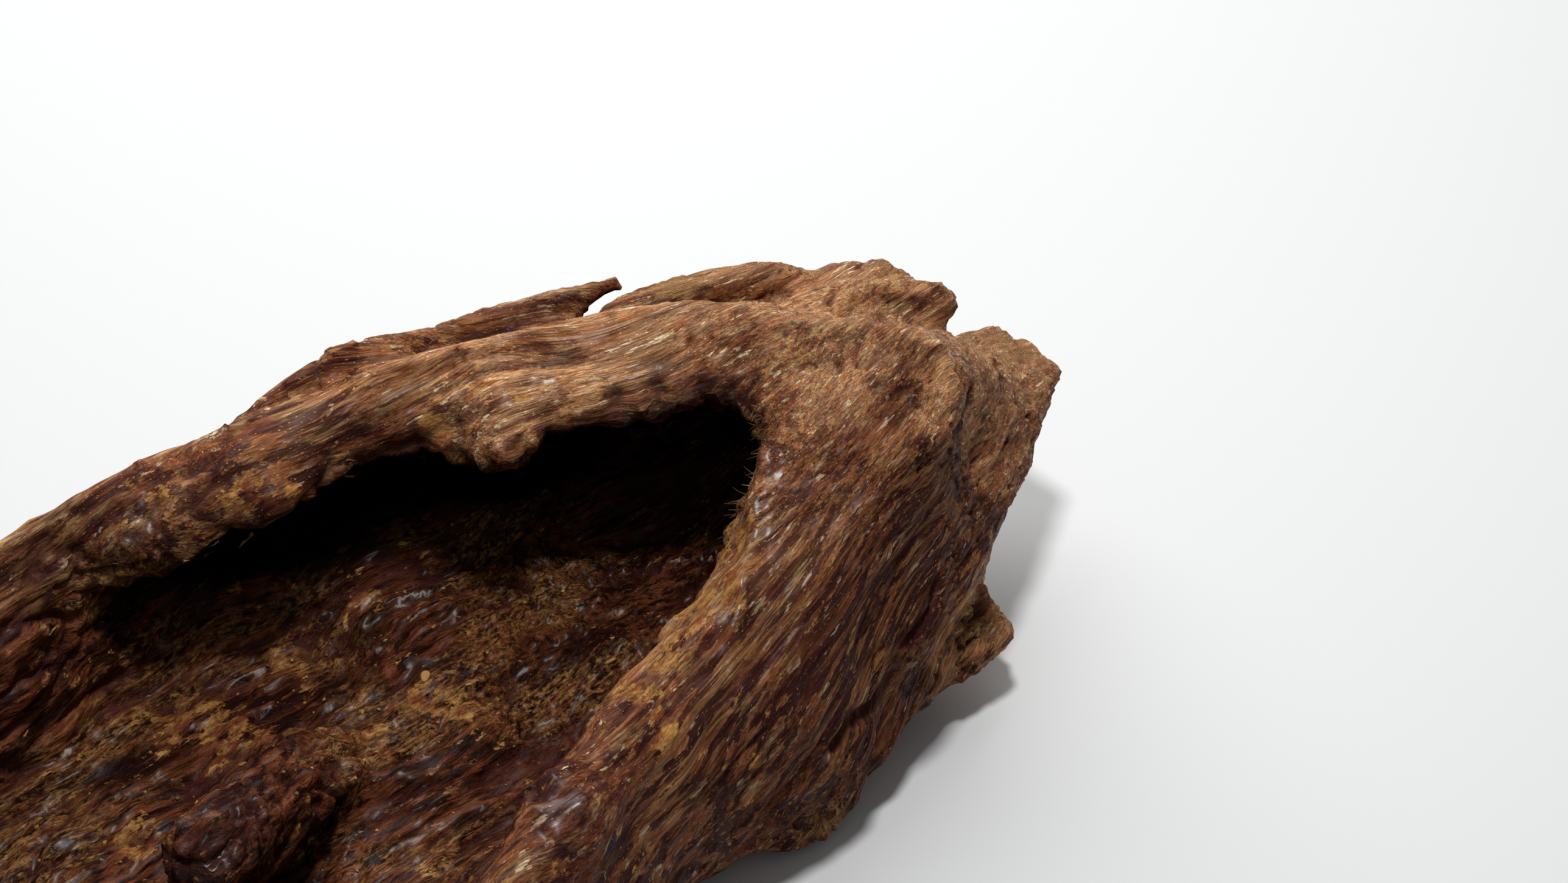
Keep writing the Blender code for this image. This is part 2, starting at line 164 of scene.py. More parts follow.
# Where it shines, in the same way.
GLOSSY = (
    ((33.4, -5.2, 14.4), 1.2), ((32.0, -6.3, 13.8), 1.1), ((30.7, -7.3, 13.1), 1.1),
    ((29.5, -8.1, 12.7), 1.1), ((28.4, -8.9, 12.3), 1.1), ((27.1, -9.5, 11.8), 1.1),
    ((24.9, 4.4, 15.5), 2.0), ((27.9, 2.8, 15.9), 1.8), ((21.0, 7.4, 15.0), 1.6),
    ((33.8, -0.9, 16.4), 1.6), ((34.9, -2.1, 15.7), 1.4), ((14.6, -12.5, 12.2), 1.8),
    ((2.3, -3.1, 11.8), 2.0), ((10.2, 11.0, 14.6), 1.6), ((43.6, -7.1, 16.6), 1.6),
    ((29.5, 1.8, 15.8), 1.8), ((31.8, 0.2, 16.0), 1.8), ((24.5, 7.0, 16.5), 1.4),
)
# Raised and sunk lines, as (points, width, height) in millimetres: the ridge beside the throat, the
# crack over the foot, and the fold at the hood's corner. They stray from their points by noise.
LINE_STRAYS, LINE_STRAY_LENGTH = 0.35, 1.7
LINES = (
    (((34.3, -4.0, 15.2), (33.4, -5.2, 14.4), (32.0, -6.3, 13.8), (30.7, -7.3, 13.1),
      (29.5, -8.1, 12.7), (28.4, -8.9, 12.3), (27.1, -9.5, 11.8)), 0.45, 0.45),
    (((37.8, -12.1, 9.3), (37.0, -12.5, 8.7), (34.7, -12.8, 7.7), (33.9, -13.0, 6.6),
      (32.4, -13.4, 6.2), (30.5, -13.7, 6.9), (29.3, -14.0, 6.3)), 0.35, -0.65),
    (((42.0, -6.1, 17.7), (42.4, -7.4, 17.5), (41.7, -8.2, 17.1), (40.4, -9.0, 16.2),
      (39.3, -9.5, 15.6), (37.8, -9.9, 14.6)), 0.55, 0.40),
)
# Where the lip is knobby, and its knobs' size, height and spots' edge.
KNOBBY = (
    ((18.5, 8.4, 14.6), 1.6), ((21.5, 7.2, 15.0), 1.8), ((24.5, 5.2, 15.2), 1.8),
    ((28.0, 3.2, 15.5), 1.8), ((31.5, 0.8, 15.7), 1.8), ((34.6, -2.4, 15.4), 1.6),
    ((8.0, 13.0, 14.4), 1.8), ((12.0, 11.6, 14.2), 1.8), ((14.8, -11.8, 12.0), 2.2),
)
KNOB_SIZE, KNOB_HEIGHT, KNOBBY_EDGE = 1.5, 0.7, (0.2, 0.9)

# Painted light and shade: the outside is painted lighter where it faces this way, mostly up and a little
# towards the window lamp, and painted darker where it faces away.
PAINTED_LIGHT_FROM = Vector((0.25, 0.35, 0.90))
PAINTED_LIGHT_FACING = (0.1, 1.0)
PAINTED_LIGHT_BY_FACING, PAINTED_LIGHT_BY_SPOT = 0.62, 0.62
RESIN_HIDES = 0.7  # the share of the painted light that resinous spots hide
# Where it is painted lit as well, as ((x, y, z), how far it spreads) in millimetres.
PAINTED_LIGHT_SPOTS = (
    ((47.0, -7.3, 12.2), 3.6), ((49.0, -7.5, 9.5), 4.0), ((50.7, -5.5, 10.2), 4.0),
    ((51.2, -3.1, 10.0), 4.0), ((26.0, 5.5, 16.5), 3.5), ((31.0, 2.0, 17.0), 3.5),
    ((38.0, -4.5, 17.5), 3.0), ((40.0, -11.5, 5.0), 3.4), ((42.0, -12.0, 3.0), 3.4),
    ((40.5, 3.0, 15.0), 4.0), ((43.0, 3.0, 14.5), 3.5), ((46.0, 0.5, 14.5), 3.0),
    ((41.6, -8.4, 16.4), 2.6), ((45.3, -8.4, 11.6), 3.0), ((34.6, 1.4, 18.2), 3.2),
)
# Painted shade: the wood under the far wall's lip is painted black where it faces down: the upward part
# of its normal, and the x and y where it begins.
UNDER_LIP, UNDER_LIP_X, UNDER_LIP_Y = (0.80, 0.25), (6.0, 17.0), (3.0, 6.5)

# Loose wood. The torn fibres stand along the throat's edge, and the flakes and crumbs lie on the
# hollow's floor. Lengths in millimetres.
LOOSE_SEED = 7
FRINGE = ((35.2, -3.6, 15.2), (34.9, -4.2, 14.2), (34.0, -4.9, 13.2), (32.6, -5.3, 12.6))
FRINGE_REACH = 0.9
FIBRES, FIBRE_LENGTH, FIBRE_THICKNESS = 70, (0.2, 0.8), 0.04
FIBRE_STRAYS = ((-1.2, 0.2), (-0.7, 0.7), (-0.7, 0.7))  # how far it turns from the surface's normal
FLAKES, FLAKE_LENGTH, FLAKE_WIDTH, FLAKE_THICKNESS = 12, (0.2, 0.5), (0.35, 0.7), 0.05
FLAKE_SIDES, FLAKE_RAGGED, FLAKE_TOP, FLAKE_UNEVEN = 9, (0.6, 1.0), 0.85, (0.6, 1.2)
CRUMBS, CRUMB_SIZE, CRUMB_WIDTH, CRUMB_THICKNESS = 130, (0.05, 0.13), 0.8, 0.6
FLOOR_SPREAD = ((-8.0, 28.0), (-5.0, 9.0))  # x and y where the flakes and crumbs lie
FLOOR_START = 10.5  # the height they fall from
FLOOR_LEVEL = 0.4  # they stay only where the floor faces up this far
SPLINTERS, SPLINTER_LENGTH, SPLINTER_THICKNESS = 70, (0.4, 1.0), (0.06, 0.14)
SPLINTER_FROM, SPLINTER_LIFT = 0.5, (0.0, 0.12)  # how torn the wood is there, and how far it lifts
# A strand is a row of three-sided rings that get smaller and bend.
STRAND_RINGS, STRAND_ANGLES, STRAND_TAPER, STRAND_BEND = 4, (0.0, 2.1, 4.2), 0.28, 0.4


def mixed(a, b, share):
    return a + (b - a) * share


def smooth_step(low, high, value):
    share = min(max((value - low) / (high - low), 0.0), 1.0)
    return share * share * (3 - 2 * share)


def drawn_at(x):
    """How close the grain lies at x, as a share of how it lies in the middle of the piece."""
    return mixed(1.0, GRAIN_DRAWN, smooth_step(*GRAIN_DRAWS_IN, x))


def grain_run(place):
    """The way the grain runs at a place."""
    across = Vector((0, place.y - GRAIN_APEX.y, place.z - GRAIN_APEX.z))
    return (Vector((1, 0, 0)) + across * (drawn_at(place.x + 1) / drawn_at(place.x) - 1)).normalized()


def along_grain(place):
    """A place in millimetres as its distances along, across and up through the grain."""
    drawn = drawn_at(place.x)
    return Vector((place.x, (place.y - GRAIN_APEX.y) / drawn, (place.z - GRAIN_APEX.z) / drawn))


def towards_line(place, points):
    """The way from a place to the nearest part of a line through points."""
    ways = []
    for start, end in zip(points, points[1:]):
        start, run = Vector(start), Vector(end) - Vector(start)
        share = min(max((place - start).dot(run) / run.length_squared, 0.0), 1.0)
        ways.append(start + run * share - place)
    return min(ways, key=lambda way: way.length)


def in_hollow(place, normal):
    """1 where a surface belongs to the hollow and 0 where it is on the outside."""
    inwards = towards_line(place, HOLLOW_AXIS)
    facing = smooth_step(*HOLLOW_FACING, inwards.normalized().dot(normal))
    rim = mixed(RIM_NEAR, RIM_FAR, smooth_step(*RIM_RISES, place.y))
    over_rim = smooth_step(rim + RIM_EDGE[0], rim + RIM_EDGE[1], place.z)
    over_rim *= smooth_step(*RIM_FACES_UP, normal.z)
    return max(facing, 1 - smooth_step(*HOLLOW_REACH, inwards.length)) * (1 - over_rim)


def way_out(tree, vert, directions):
    """The share of directions over a vertex that leave the wood freely."""
    start = vert.co + vert.normal * JUST_OVER * MM
    over = [way if way.dot(vert.normal) > 0 else -way for way in directions]
    free = sum(tree.ray_cast(start, way, DEEP_REACH * MM)[0] is None for way in over)
    return free / len(over)


def spots(place, places, edge):
    """How far a place belongs to a list of spots with ragged edges, from 0 to 1."""
    spread = sum(math.exp(-((place - Vector(spot)).length / size) ** 2) for spot, size in places)
    ragged = 1
    for far, often in RAGGED:
        ragged += far * noise.noise(place * often)
    return smooth_step(*edge, spread * ragged)


def near_line(place, points, width):
    """How near a place is to a line through points, from 0 to 1."""
    return math.exp(-(towards_line(place, points).length / width) ** 2)


def swayed(grain, place):
    """The grain's coordinates with its sway."""
    for far, length in SWAYS:
        shift = noise.noise_vector(place / length)
        grain = grain + Vector((0, shift.y, shift.z)) * far
    return grain


def relief(place, grain, inner, torn):
    """The height of the surface over its even form, in millimetres."""
    height = spots(place, KNOBBY, KNOBBY_EDGE) * KNOB_HEIGHT * noise.noise(place / KNOB_SIZE)
    astray = place + noise.noise_vector(place / LINE_STRAY_LENGTH) * LINE_STRAYS
    height += sum(near_line(astray, points, width) * rise for points, width, rise in LINES)
    for (length, width), outside, inside in WAVES:
        wave = noise.noise(Vector((grain.x / length, grain.y / width, grain.z / width)))
        height += mixed(outside * wave, inside * (HOLLOW_CREST - abs(wave)), inner)
    (length, width), outside, inside = GROOVES
    place = Vector((grain.x / length, grain.y / width, (grain.z + GROOVE_SHIFT) / width))
    groove = max(0.0, 1 - abs(noise.noise(place)) * GROOVE_SHARPNESS)
    height -= mixed(outside, inside, inner) * groove ** 2
    place = Vector((grain.x / CHIP_LENGTH, grain.y / CHIP_WIDTH, grain.z / CHIP_WIDTH))
    nearest, next_nearest = noise.voronoi(place)[0][:2]
    chip = min((next_nearest - nearest) * CHIP_STEEPNESS, 1.0) - CHIP_SUNK
    return height + max(torn, inner * HOLLOW_CHIPPED) * CHIP_HEIGHT * chip


def remade(node):
    """A copy of the node's mesh with even faces and no facets."""
    obj = bpy.data.objects.new("agarwood_wood", node.data.copy())
    bpy.context.scene.collection.objects.link(obj)
    remesh = obj.modifiers.new("even_faces", "REMESH")
    remesh.mode = "VOXEL"
    remesh.voxel_size = FACE_SIZE * MM
    smooth = obj.modifiers.new("no_facets", "SMOOTH")
    smooth.factor = SMOOTHING
    smooth.iterations = SMOOTHING_ROUNDS
    graph = bpy.context.evaluated_depsgraph_get()
    mesh = bpy.data.meshes.new_from_object(obj.evaluated_get(graph))
    obj.modifiers.clear()
    obj.data = mesh
    return obj


def make_finer(bm, eye):
    """Halves the faces that the photograph shows."""
    bm.normal_update()
    seen = [
        face for face in bm.faces
        if face.calc_center_median().x > FINE_FROM_X * MM
        and face.normal.dot((eye - face.calc_center_median()).normalized()) > TURNED_AWAY
    ]
    for face in seen:
        for edge in face.edges:
            edge.tag = True
    edges = [edge for edge in bm.edges if edge.tag]
    bmesh.ops.subdivide_edges(bm, edges=edges, cuts=1, use_grid_fill=True, smooth=0.0)


def thickness(tree, vert):
    """How thick the wood is under a vertex, in millimetres, up to what needs no care."""
    start = vert.co - vert.normal * JUST_UNDER * MM
    hit = tree.ray_cast(start, -vert.normal, THIN_WOOD[1] * MM)
    return THIN_WOOD[1] if hit[0] is None else hit[3] / MM


def paint_masks(place, normal, inner, open_share):
    """The masks that only paint the wood, in the order of MASKS from pale to ochre."""
    pale = spots(place, PALE, EVEN)
    # painted light and shade: lighter where the surface faces the lamps and at listed spots, less so on
    # resinous spots
    painted_light = PAINTED_LIGHT_BY_FACING * smooth_step(*PAINTED_LIGHT_FACING, normal.dot(PAINTED_LIGHT_FROM))
    painted_light = min(painted_light + PAINTED_LIGHT_BY_SPOT * spots(place, PAINTED_LIGHT_SPOTS, SOFT), 1.0)
    painted_light *= 1 - RESIN_HIDES * spots(place, RESINOUS, SOFT)
    # painted shade: under the far wall's lip, wood that faces down has its open share lowered, so it is
    # painted black
    under = inner * smooth_step(*UNDER_LIP_X, place.x) * smooth_step(*UNDER_LIP_Y, place.y)
    open_share *= 1 - under * (1 - smooth_step(UNDER_LIP[1], UNDER_LIP[0], normal.z))
    return (pale, open_share, painted_light, spots(place, GLOSSY, EVEN), spots(place, OCHRE_SPOTS, SOFT))


def wood_surface(node, eye):
    """The fine piece of wood, with its grain and its masks kept on the mesh for the material."""
    obj = remade(node)
    bm = bmesh.new()
    bm.from_mesh(obj.data)
    make_finer(bm, eye)
    bm.normal_update()
    bm.verts.ensure_lookup_table()
    tree = BVHTree.FromBMesh(bm)
    dice = random.Random(DEEP_SEED)
    directions = [Vector((dice.gauss(0, 1), dice.gauss(0, 1), dice.gauss(0, 1))).normalized()
                  for _ in range(DEEP_RAYS)]
    shifts, grains, rows = [], [], []
    for vert in bm.verts:
        place = vert.co / MM
        grain = swayed(along_grain(place), place)
        inner = in_hollow(place, vert.normal)
        torn = spots(place, TORN, CRISP)
        height = relief(place, grain, inner, torn)
        rise = height * smooth_step(*THIN_WOOD, thickness(tree, vert))
        open_share = way_out(tree, vert, directions) if inner > HOLLOW_FROM else 1.0
        shifts.append(vert.normal * rise * MM)
        grains.append(tuple(grain))
        rows.append((inner, torn, height, *paint_masks(place, vert.normal, inner, open_share)))
    for vert, shift in zip(bm.verts, shifts):
        vert.co += shift
        vert.co.z = max(vert.co.z, 0.0)
    for face in bm.faces:
        face.smooth = True
    bm.to_mesh(obj.data)
    bm.free()
    keep_on_mesh(obj.data, "grain", "FLOAT_VECTOR", "vector", grains)
    for name, values in zip(MASKS, zip(*rows)):
        keep_on_mesh(obj.data, name, "FLOAT", "value", values)
    return obj


def keep_on_mesh(mesh, name, kind, field, values):
    """Keeps a value for each vertex of a mesh, under a name that the material reads."""
    attribute = mesh.attributes.new(name, kind, "POINT")
    attribute.data.foreach_set(field, np.array(values, dtype=np.float32).ravel())


# Nodes

def add(tree, kind, inputs=(), **settings):
    """A new node with its settings and inputs; an input that is a socket is linked."""
    new = tree.nodes.new(kind)
    for name, value in settings.items():
        setattr(new, name, value)
    for name, value in dict(inputs).items():
        if isinstance(value, bpy.types.NodeSocket):
            tree.links.new(value, new.inputs[name])
        else:
            new.inputs[name].default_value = value
    return new


def attribute(tree, name):
    return add(tree, "ShaderNodeAttribute", attribute_name=name)


def math_node(tree, operation, a, b=0.0):
    return add(tree, "ShaderNodeMath", {0: a, 1: b}, operation=operation).outputs[0]


def band(tree, value, low, high, most=1.0):
    """0 below low and most above high, with a soft step between."""
    inputs = {"Value": value, "From Min": low, "From Max": high, "To Max": most}
    return add(tree, "ShaderNodeMapRange", inputs, interpolation_type="SMOOTHSTEP").outputs[0]


def blend(tree, factor, a, b, blend_type="MIX"):
    """A colour between a and b."""
    new = add(tree, "ShaderNodeMix", {0: factor}, data_type="RGBA", blend_type=blend_type)
    for index, value in ((6, a), (7, b)):
        if isinstance(value, bpy.types.NodeSocket):
            tree.links.new(value, new.inputs[index])
        else:
            new.inputs[index].default_value = (*value, 1)
    return new.outputs[2]


def in_span(tree, value, span, to):
    """A value between the two of to, as the value goes evenly through its span."""
    inputs = {"Value": value, "From Min": span[0], "From Max": span[1], "To Min": to[0], "To Max": to[1]}
    return add(tree, "ShaderNodeMapRange", inputs).outputs[0]


def shaded(tree, colour, value, low, high, span=(0.3, 0.7)):
    """The colour made darker or lighter, by low to high as the value rises through its span."""
    factor = in_span(tree, value, span, (low, high))
    return add(tree, "ShaderNodeVectorMath", {0: colour, "Scale": factor}, operation="SCALE").outputs[0]


def tinted(tree, colour, value, tints, span=(0.3, 0.7)):
    """The colour times a tint that goes from the first to the second through the value's span."""
    tint = blend(tree, band(tree, value, *span), *tints)
    return blend(tree, 1.0, colour, tint, "MULTIPLY")


def noise_along(tree, grain, length, width, seed, detail=3.0, roughness=0.6):
    """Noise in streaks of that length and width, in millimetres."""
    scaled = add(tree, "ShaderNodeVectorMath", {0: grain, 1: (1 / length, 1 / width, 1 / width)},
                 operation="MULTIPLY")
    moved = add(tree, "ShaderNodeVectorMath", {0: scaled.outputs[0], 1: (seed, seed * 2, seed * 3)})
    inputs = {"Vector": moved.outputs[0], "Scale": 1.0, "Detail": detail, "Roughness": roughness}
    return add(tree, "ShaderNodeTexNoise", inputs).outputs[0]


# Colours of the wood, linear.
# painted sheen: the tan that the painted-lit side of the outside turns towards
PAINTED_SHEEN_TAN = (0.420, 0.230, 0.105)
GOLDEN_BROWN = (0.430, 0.230, 0.090)
ORANGE_BROWN = (0.390, 0.154, 0.052)
EMBER = (0.420, 0.120, 0.028)
RED_BROWN = (0.210, 0.058, 0.022)
DARK_BROWN = (0.100, 0.027, 0.014)
RESIN = (0.062, 0.015, 0.012)
PALE_FLECK = (0.58, 0.39, 0.21)
# painted glint: a bright gold colour that stands for tiny highlights
PAINTED_GLINT = (0.90, 0.48, 0.16)
TORN_WOOD = (0.50, 0.28, 0.11)
HOLLOW_BROWN = (0.165, 0.043, 0.014)
HOLLOW_DARK = (0.020, 0.004, 0.002)
OCHRE = (0.50, 0.25, 0.07)
DUST = (0.30, 0.135, 0.040)
BLACK = (0.002, 0.001, 0.001)

# What a colour is multiplied by where the fibres are dark and light, and where the wood is painted
# shaded and painted lit.
FIBRE_TINTS = (0.58, 0.46, 0.44), (1.48, 1.72, 1.92)
PAINTED_LIGHT_TINTS = (0.56, 0.53, 0.55), (1.58, 1.68, 1.74)

# Loose wood's two colours, how far apart they lie in millimetres, and its roughness.
TORN_FIBRE = (0.42, 0.24, 0.09), (0.15, 0.07, 0.03)
SPLINTER = (0.34, 0.19, 0.08), (0.09, 0.04, 0.02)
LITTER = OCHRE, (0.12, 0.05, 0.02)
UNEVEN_SIZE, LOOSE_ROUGHNESS = 0.6, 0.7

# The shine. Roughness goes between two values by noise; broken wood is rougher and the hollow is
# smoother. The coat is strongest where it shines, then in the hollow, then everywhere else, and its
# noise leaves gaps.
SPECULAR, ROUGHNESS, ROUGHNESS_SPAN = 0.06, (0.36, 0.74), (0.35, 0.65)
ROUGHER_BROKEN, SMOOTHER_HOLLOW = 0.3, 0.12
COAT_GLOSSY, COAT_HOLLOW, COAT_ELSEWHERE, COAT_ROUGHNESS = 0.7, 0.22, 0.08, 0.28
COAT_SPAN = (0.56, 0.42)
LIGHT_LOST = (0.12, 0.42)  # the shares of free directions up to which it is black, and not at all
GROOVE_FLOOR, GROOVE_DARKENING = (-0.36, -0.06), 0.8  # heights of a groove's dark floor, and its share
OCHRE_HELP = 0.16  # how far a soft spot lifts the noise that makes wood ochre
# Fine relief in the material: heights in millimetres and strengths.
STRAND_BUMP, FINE_BUMP, GRIT_BUMP = 0.30, (0.12, 0.9), (0.07, 0.8)
STRAND_STRENGTH, STRAND_STRENGTH_HOLLOW = 0.35, 0.8


def outside_colour(tree, grain, fibres, painted_light):
    """Orange and red brown in wide bands, with resin streaks and pale flecks along the grain, fainter
    and tan with painted sheen where it is painted lit, and with painted glints.
    """
    bands = noise_along(tree, grain, 12.0, 3.0, 1.3)
    mottle = noise_along(tree, grain, 4.0, 1.0, 26.2, detail=4.0)
    strands = noise_along(tree, grain, 6.0, 0.42, 3.7)
    embers = noise_along(tree, grain, 4.0, 0.34, 31.6)
    threads = noise_along(tree, grain, 2.4, 0.18, 11.3)
    streaks = noise_along(tree, grain, 4.5, 0.56, 14.2, detail=4.0)
    dense = noise_along(tree, grain, 6.0, 2.4, 17.1, detail=1.0)
    flecks = noise_along(tree, grain, 1.6, 0.55, 5.2, detail=4.0)
    colour = blend(tree, band(tree, bands, 0.40, 0.58), RED_BROWN, ORANGE_BROWN)
    colour = blend(tree, band(tree, mottle, 0.50, 0.64), colour, GOLDEN_BROWN)
    # painted sheen: where the wood is painted lit its colour goes towards tan
    colour = blend(tree, band(tree, painted_light, 0.35, 1.0, 0.5), colour, PAINTED_SHEEN_TAN)
    colour = blend(tree, band(tree, embers, 0.54, 0.64, 0.8), colour, EMBER)
    # painted light: the dark strands and streaks fade where the wood is painted lit
    faint = math_node(tree, "SUBTRACT", 1.0, math_node(tree, "MULTIPLY", painted_light, 0.55))
    strands = math_node(tree, "MULTIPLY", band(tree, strands, 0.49, 0.59, 0.8), faint)
    colour = blend(tree, strands, colour, DARK_BROWN)
    colour = blend(tree, band(tree, threads, 0.52, 0.62, 0.6), colour, RED_BROWN)
    streaks = math_node(tree, "ADD", streaks, math_node(tree, "MULTIPLY", dense, 0.3))
    streaks = math_node(tree, "MULTIPLY", band(tree, streaks, 0.640, 0.685, 0.95), faint)
    colour = blend(tree, streaks, colour, RESIN)
    colour = blend(tree, band(tree, flecks, 0.625, 0.66), colour, PALE_FLECK)
    # painted highlights: tiny specks in the glint colour stand for glints of light
    painted_glints = noise_along(tree, grain, 0.16, 0.10, 23.7, detail=1.0)
    colour = blend(tree, band(tree, painted_glints, 0.68, 0.74, 0.7), colour, PAINTED_GLINT)
    return tinted(tree, colour, fibres, FIBRE_TINTS)


def hollow_colour(tree, grain, fibres):
    """Dark and resinous, with ochre flakes and patches of dust."""
    patches = noise_along(tree, grain, 5.0, 1.6, 6.4)
    strands = noise_along(tree, grain, 3.0, 0.34, 13.9, detail=4.0)
    flakes = noise_along(tree, grain, 1.4, 0.6, 7.9, detail=5.0, roughness=0.65)
    dusty = noise_along(tree, grain, 9.0, 5.0, 19.3, detail=1.0)
    dust = noise_along(tree, grain, 0.55, 0.22, 16.6, detail=4.0, roughness=0.7)
    colour = blend(tree, band(tree, patches, 0.36, 0.60), HOLLOW_DARK, HOLLOW_BROWN)
    colour = blend(tree, band(tree, strands, 0.40, 0.55), HOLLOW_DARK, colour)
    colour = blend(tree, band(tree, strands, 0.58, 0.70), colour, RED_BROWN)
    dust = math_node(tree, "MULTIPLY", band(tree, dust, 0.44, 0.62), band(tree, dusty, 0.50, 0.64))
    colour = blend(tree, dust, colour, DUST)
    colour = blend(tree, band(tree, flakes, 0.635, 0.67), colour, OCHRE)
    return tinted(tree, colour, fibres, FIBRE_TINTS)


def wood_colour(tree, grain, fibres, grit, masks):
    """The wood's colour, and the share of it that is broken."""
    outside = outside_colour(tree, grain, fibres, masks["painted_light"])
    # painted light and shade: the outside is multiplied darker where it faces away from the lamps and
    # lighter where it faces them
    outside = tinted(tree, outside, masks["painted_light"], PAINTED_LIGHT_TINTS, (0, 1))
    colour = blend(tree, masks["inner"], outside, hollow_colour(tree, grain, fibres))

    # Broken and worn wood is pale, soft wood is ochre, and the floor of each groove is dark.
    worn = blend(tree, band(tree, fibres, 0.40, 0.64), TORN_WOOD, DARK_BROWN)
    worn_noise = noise_along(tree, grain, 1.4, 0.7, 12.5, detail=4.0, roughness=0.7)
    share = math_node(tree, "MULTIPLY", math_node(tree, "MAXIMUM", masks["torn"], masks["pale"]),
                      band(tree, worn_noise, 0.42, 0.58))
    colour = blend(tree, share, colour, worn)
    soft_noise = noise_along(tree, grain, 1.3, 0.6, 29.4, detail=5.0, roughness=0.7)
    helped = math_node(tree, "MULTIPLY", masks["ochre"], OCHRE_HELP)
    soft_noise = math_node(tree, "ADD", helped, soft_noise)
    soft = blend(tree, band(tree, worn_noise, 0.40, 0.60), OCHRE, RED_BROWN)
    soft = shaded(tree, soft, grit, 0.7, 1.3)
    colour = blend(tree, band(tree, soft_noise, 0.60, 0.67), colour, soft)
    # darker towards each groove's floor, by how deep the relief sinks there
    darkened_groove = blend(tree, GROOVE_DARKENING, colour, RESIN)
    colour = blend(tree, band(tree, masks["height"], *GROOVE_FLOOR), darkened_groove, colour)
    # painted shade: where little light gets out of the hollow, and under the far wall's lip, the colour
    # is painted black
    return blend(tree, band(tree, masks["open"], *LIGHT_LOST), BLACK, colour), share


def wood_shine(tree, grain, broken, masks):
    """The roughness and the coat's weight."""
    gloss = noise_along(tree, grain, 2.2, 0.5, 8.8, detail=4.0)
    light = band(tree, masks["open"], *LIGHT_LOST)
    roughness = in_span(tree, gloss, ROUGHNESS_SPAN, ROUGHNESS)
    roughness = math_node(tree, "ADD", roughness, math_node(tree, "MULTIPLY", broken, ROUGHER_BROKEN))
    smoother = math_node(tree, "MULTIPLY", masks["inner"], SMOOTHER_HOLLOW)
    roughness = math_node(tree, "SUBTRACT", roughness, smoother)
    roughness = math_node(tree, "ADD", roughness, math_node(tree, "SUBTRACT", 1.0, light))
    coat = math_node(tree, "MAXIMUM", math_node(tree, "MULTIPLY", masks["glossy"], COAT_GLOSSY),
                     math_node(tree, "MULTIPLY", masks["inner"], COAT_HOLLOW))
    coat = math_node(tree, "MAXIMUM", coat, COAT_ELSEWHERE)
    coat = math_node(tree, "MULTIPLY", coat, band(tree, gloss, *COAT_SPAN))
    return roughness, math_node(tree, "MULTIPLY", coat, light)


def bumped(tree, height, distance, strength, normal=None):
    """A normal with a bump on it, that high in millimetres."""
    inputs = {"Height": height, "Distance": distance * MM, "Strength": strength}
    if normal is not None:
        inputs["Normal"] = normal
    return add(tree, "ShaderNodeBump", inputs).outputs[0]


def agarwood():
    """The wood's material, which reads its grain and masks from the mesh."""
    material = bpy.data.materials.new("agarwood_grain")
    material.use_nodes = True
    tree = material.node_tree
    shader = tree.nodes["Principled BSDF"]
    grain = attribute(tree, "grain").outputs["Vector"]
    masks = {name: attribute(tree, name).outputs["Fac"] for name in MASKS}
    fibres = noise_along(tree, grain, 4.0, 0.10, 2.1)
    grit = noise_along(tree, grain, 0.22, 0.12, 4.6, detail=2.0)
    colour, broken = wood_colour(tree, grain, fibres, grit, masks)
    roughness, coat = wood_shine(tree, grain, broken, masks)
    strands = noise_along(tree, grain, 2.4, 0.26, 21.4, detail=4.0, roughness=0.65)
    strength = math_node(tree, "MULTIPLY", masks["inner"], STRAND_STRENGTH_HOLLOW)
    strength = math_node(tree, "ADD", strength, STRAND_STRENGTH)
    normal = bumped(tree, strands, STRAND_BUMP, strength)
    normal = bumped(tree, noise_along(tree, grain, 2.0, 0.11, 9.1), *FINE_BUMP, normal)
    normal = bumped(tree, grit, *GRIT_BUMP, normal)
    tree.links.new(colour, shader.inputs["Base Color"])
    tree.links.new(roughness, shader.inputs["Roughness"])
    tree.links.new(coat, shader.inputs["Coat Weight"])
    tree.links.new(normal, shader.inputs["Normal"])
    shader.inputs["Specular IOR Level"].default_value = SPECULAR
    shader.inputs["Coat Roughness"].default_value = COAT_ROUGHNESS
    return material


def loose_wood(name, colour, dark):
    """Plain matt wood with a little unevenness, for the small pieces."""
    material = bpy.data.materials.new(name)
    material.use_nodes = True
    tree = material.node_tree
    shader = tree.nodes["Principled BSDF"]
    place = add(tree, "ShaderNodeTexCoord").outputs["Object"]
    uneven = add(tree, "ShaderNodeTexNoise",
                 {"Vector": place, "Scale": 1 / (UNEVEN_SIZE * MM), "Detail": 3.0})
    tree.links.new(blend(tree, band(tree, uneven.outputs[0], 0.35, 0.65), colour, dark),
                   shader.inputs["Base Color"])
    shader.inputs["Roughness"].default_value = LOOSE_ROUGHNESS
    return material


# Loose wood

def strand(bm, root, heading, length, thickness, dice):
    """A thin tapering strand that bends as it leaves the wood."""
    bend = Vector((dice.uniform(-1, 1), dice.uniform(-1, 1), dice.uniform(-1, 1))) * STRAND_BEND
    place, rings = root - heading * 2 * thickness, []
    for step in range(STRAND_RINGS):
        side = heading.orthogonal().normalized()
        other = heading.cross(side)
        reach = thickness * (1 - STRAND_TAPER * step)
        rings.append([bm.verts.new(place + side * reach * math.cos(a) + other * reach * math.sin(a))
                      for a in STRAND_ANGLES])
        place = place + heading * length / (STRAND_RINGS - 1)
        heading = (heading + bend * 0.5).normalized()
    for lower, upper in zip(rings, rings[1:]):
        for i, corner in enumerate(lower):
            j = (i + 1) % len(lower)
            bm.faces.new((corner, lower[j], upper[j], upper[i]))
    bm.faces.new(rings[0][::-1])
    bm.faces.new(rings[-1])


